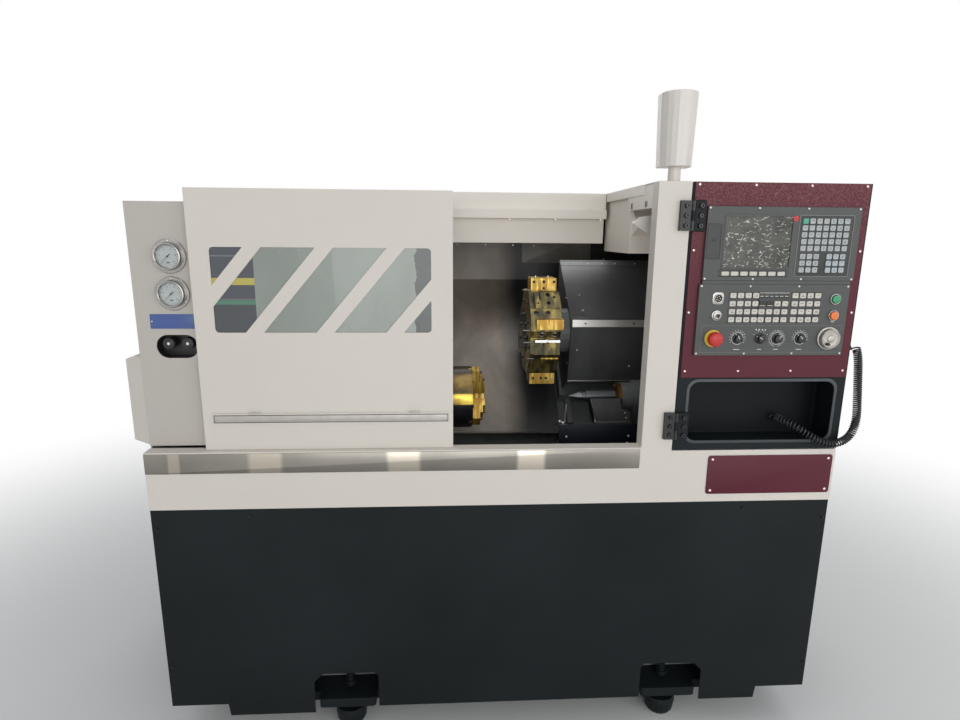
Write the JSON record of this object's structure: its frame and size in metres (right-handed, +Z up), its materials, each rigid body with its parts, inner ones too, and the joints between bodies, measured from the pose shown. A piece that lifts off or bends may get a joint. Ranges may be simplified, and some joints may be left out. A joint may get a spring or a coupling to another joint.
{
  "type": "slant-bed turning lathe",
  "caption": "Enclosed slant-bed turning lathe with sliding door, chuck, tool turret, tailstock and a hinged control panel on levelling feet.",
  "frame": {"origin": "on the floor under the middle of the machine's bounding box, without the cord", "axes": "+X along the spindle from the headstock to the tailstock, +Y from the front to the back, +Z up"},
  "size_m": [2.1188, 1.4161, 1.93],
  "materials": {
    "white_paint": "fine-textured warm white paint",
    "black_paint": "satin black paint",
    "liner_paint": "dark grey guard paint",
    "maroon_paint": "metallic maroon paint",
    "cast_paint": "painted casting",
    "steel": "ground",
    "chrome": "polished",
    "gold_film": "gold protective film",
    "aluminium": "machined",
    "grey_panel": "dark grey panel",
    "key_rubber": "off-white silicone keys",
    "black_plastic": "moulded",
    "red_plastic": "moulded",
    "green_plastic": "moulded",
    "orange_plastic": "moulded",
    "frosted_pane": "safety pane behind a milky protective film",
    "lamp_plastic": "unlit lantern",
    "rubber": "black"
  },
  "bodies": {
    "enclosure": {"base_frame": "black_paint", "kick_panel": "black_paint", "base_skirt": "black_paint", "bed_casting": "cast_paint", "z_motor": "black_plastic", "headstock_casting": "cast_paint", "drive_belt": "rubber", "spindle_motor": "cast_paint", "chip_chute": "liner_paint", "back_liner": "liner_paint", "front_frame": "white_paint", "headstock_case": "white_paint", "valve_block": "black_plastic", "gauge_upper": "chrome", "gauge_lower": "chrome", "end_guard": "white_paint", "rear_hood": "white_paint", "side_hood": "white_paint", "electrics_cabinet": "white_paint", "signal_lamp": "lamp_plastic", "hinge_upper": "black_paint", "hinge_lower": "black_paint"},
    "spindle": {"spindle": "steel", "spindle_pulley": "aluminium", "chuck_body": "steel"},
    "jaw_1": {"chuck_jaw_1": "gold_film"},
    "jaw_2": {"chuck_jaw_2": "gold_film"},
    "jaw_3": {"chuck_jaw_3": "gold_film"},
    "motor_pulley": {"motor_pulley": "aluminium"},
    "z_screw": {"z_screw": "steel"},
    "carriage": {"saddle": "cast_paint", "way_cover_sliding": "liner_paint"},
    "x_screw": {"x_screw": "steel"},
    "cross_slide": {"cross_slide": "cast_paint", "slide_cover": "liner_paint"},
    "turret": {"turret_disc": "gold_film"},
    "tailstock": {"tailstock_body": "cast_paint"},
    "quill": {"tailstock_quill": "steel"},
    "needle_upper": {"gauge_needle_upper": "black_plastic"},
    "needle_lower": {"gauge_needle_lower": "black_plastic"},
    "pressure_knob_left": {"pressure_knob_left": "black_plastic"},
    "pressure_knob_right": {"pressure_knob_right": "black_plastic"},
    "sliding_door": {"sliding_door": "white_paint", "door_window": "frosted_pane"},
    "control_door": {"control_door": "black_paint", "control_plate": "maroon_paint", "cnc_unit": "grey_panel", "operator_unit": "grey_panel", "operator_keys": "key_rubber", "cnc_keys": "key_rubber", "curly_cord": "rubber"},
    "selector_1": {"selector_knob_1": "black_plastic"},
    "selector_2": {"selector_knob_2": "black_plastic"},
    "selector_3": {"selector_knob_3": "black_plastic"},
    "selector_4": {"selector_knob_4": "black_plastic"},
    "handwheel": {"pulse_handwheel": "aluminium"},
    "emergency_stop": {"emergency_stop": "red_plastic"},
    "start_button": {"start_button": "green_plastic"},
    "hold_button": {"hold_button": "orange_plastic"},
    "key_switch": {"key_switch": "chrome"}
  },
  "joints": [
    {"name": "door_slide", "type": "slide", "parent": "enclosure", "child": "sliding_door", "axis": [1, 0, 0], "range_m": [0, 0.5465]},
    {"name": "control_door_hinge", "type": "hinge", "parent": "enclosure", "child": "control_door", "pos_m": [0.538, -0.6722, 0.9436], "axis": [0, 0, -1], "range_deg": [0, 100]},
    {"name": "spindle_turn", "type": "hinge", "parent": "enclosure", "child": "spindle", "pos_m": [-0.167, -0.262, 1.005], "axis": [1, 0, 0], "continuous": true},
    {"name": "motor_turn", "type": "hinge", "parent": "enclosure", "child": "motor_pulley", "pos_m": [-0.677, -0.212, 0.3], "axis": [1, 0, 0], "continuous": true},
    {"name": "jaw_1_slide", "type": "slide", "parent": "spindle", "child": "jaw_1", "axis": [0, -0.1736, 0.9848], "range_m": [-0.0037, 0]},
    {"name": "jaw_2_slide", "type": "slide", "parent": "spindle", "child": "jaw_2", "axis": [0, -0.766, -0.6428], "range_m": [-0.0037, 0]},
    {"name": "jaw_3_slide", "type": "slide", "parent": "spindle", "child": "jaw_3", "axis": [0, 0.9397, -0.342], "range_m": [-0.0037, 0]},
    {"name": "z_slide", "type": "slide", "parent": "enclosure", "child": "carriage", "axis": [1, 0, 0], "range_m": [-0.12, 0.1]},
    {"name": "z_screw_turn", "type": "hinge", "parent": "enclosure", "child": "z_screw", "pos_m": [-0.117, 0.14105, 0.9555], "axis": [1, 0, 0], "range_deg": [-4400, 3700]},
    {"name": "x_slide", "type": "slide", "parent": "carriage", "child": "cross_slide", "axis": [0, -0.7071, -0.7071], "range_m": [-0.04, 0.09]},
    {"name": "x_screw_turn", "type": "hinge", "parent": "carriage", "child": "x_screw", "pos_m": [0.458, -0.07815, 0.82115], "axis": [0, 0.7071, 0.7071], "range_deg": [-1500, 3300]},
    {"name": "turret_index", "type": "hinge", "parent": "cross_slide", "child": "turret", "pos_m": [0.205, -0.06047, 1.20653], "axis": [1, 0, 0], "continuous": true},
    {"name": "tailstock_slide", "type": "slide", "parent": "enclosure", "child": "tailstock", "axis": [1, 0, 0], "range_m": [-0.18, 0]},
    {"name": "quill_slide", "type": "slide", "parent": "tailstock", "child": "quill", "axis": [1, 0, 0], "range_m": [-0.03, 0.09]},
    {"name": "needle_upper_turn", "type": "hinge", "parent": "enclosure", "child": "needle_upper", "pos_m": [-0.8614, -0.6272, 1.489], "axis": [0, 1, 0], "range_deg": [0, 270]},
    {"name": "needle_lower_turn", "type": "hinge", "parent": "enclosure", "child": "needle_lower", "pos_m": [-0.8614, -0.6272, 1.3895], "axis": [0, 1, 0], "range_deg": [0, 270]},
    {"name": "pressure_left_turn", "type": "hinge", "parent": "enclosure", "child": "pressure_knob_left", "pos_m": [-0.8888, -0.5845, 1.251], "axis": [0, -1, 0], "range_deg": [-180, 180]},
    {"name": "pressure_right_turn", "type": "hinge", "parent": "enclosure", "child": "pressure_knob_right", "pos_m": [-0.8375, -0.5845, 1.251], "axis": [0, -1, 0], "range_deg": [-180, 180]},
    {"name": "selector_1_turn", "type": "hinge", "parent": "control_door", "child": "selector_1", "pos_m": [0.6919, -0.6746, 1.2745], "axis": [0, -1, 0], "range_deg": [-120, 120]},
    {"name": "selector_2_turn", "type": "hinge", "parent": "control_door", "child": "selector_2", "pos_m": [0.758, -0.6746, 1.2745], "axis": [0, -1, 0], "range_deg": [-120, 120]},
    {"name": "selector_3_turn", "type": "hinge", "parent": "control_door", "child": "selector_3", "pos_m": [0.8055, -0.6746, 1.2745], "axis": [0, -1, 0], "range_deg": [-120, 120]},
    {"name": "selector_4_turn", "type": "hinge", "parent": "control_door", "child": "selector_4", "pos_m": [0.8726, -0.6746, 1.2745], "axis": [0, -1, 0], "range_deg": [-120, 120]},
    {"name": "handwheel_turn", "type": "hinge", "parent": "control_door", "child": "handwheel", "pos_m": [0.9546, -0.6746, 1.2745], "axis": [0, -1, 0], "continuous": true},
    {"name": "key_turn", "type": "hinge", "parent": "control_door", "child": "key_switch", "pos_m": [0.6258, -0.6746, 1.339], "axis": [0, -1, 0], "range_deg": [0, 90]},
    {"name": "emergency_press", "type": "slide", "parent": "control_door", "child": "emergency_stop", "axis": [0, 1, 0], "range_m": [0, 0.005]},
    {"name": "start_press", "type": "slide", "parent": "control_door", "child": "start_button", "axis": [0, 1, 0], "range_m": [0, 0.003], "stiffness_N_per_m": 900},
    {"name": "hold_press", "type": "slide", "parent": "control_door", "child": "hold_button", "axis": [0, 1, 0], "range_m": [0, 0.003], "stiffness_N_per_m": 900}
  ],
  "couplings": [
    {"joint": "motor_turn", "follows": "spindle_turn", "ratio": 1.3333},
    {"joint": "jaw_2_slide", "follows": "jaw_1_slide", "ratio": 1},
    {"joint": "jaw_3_slide", "follows": "jaw_1_slide", "ratio": 1},
    {"joint": "z_screw_turn", "follows": "z_slide", "rad_per_m": 628.32},
    {"joint": "x_screw_turn", "follows": "x_slide", "rad_per_m": 628.32}
  ]
}
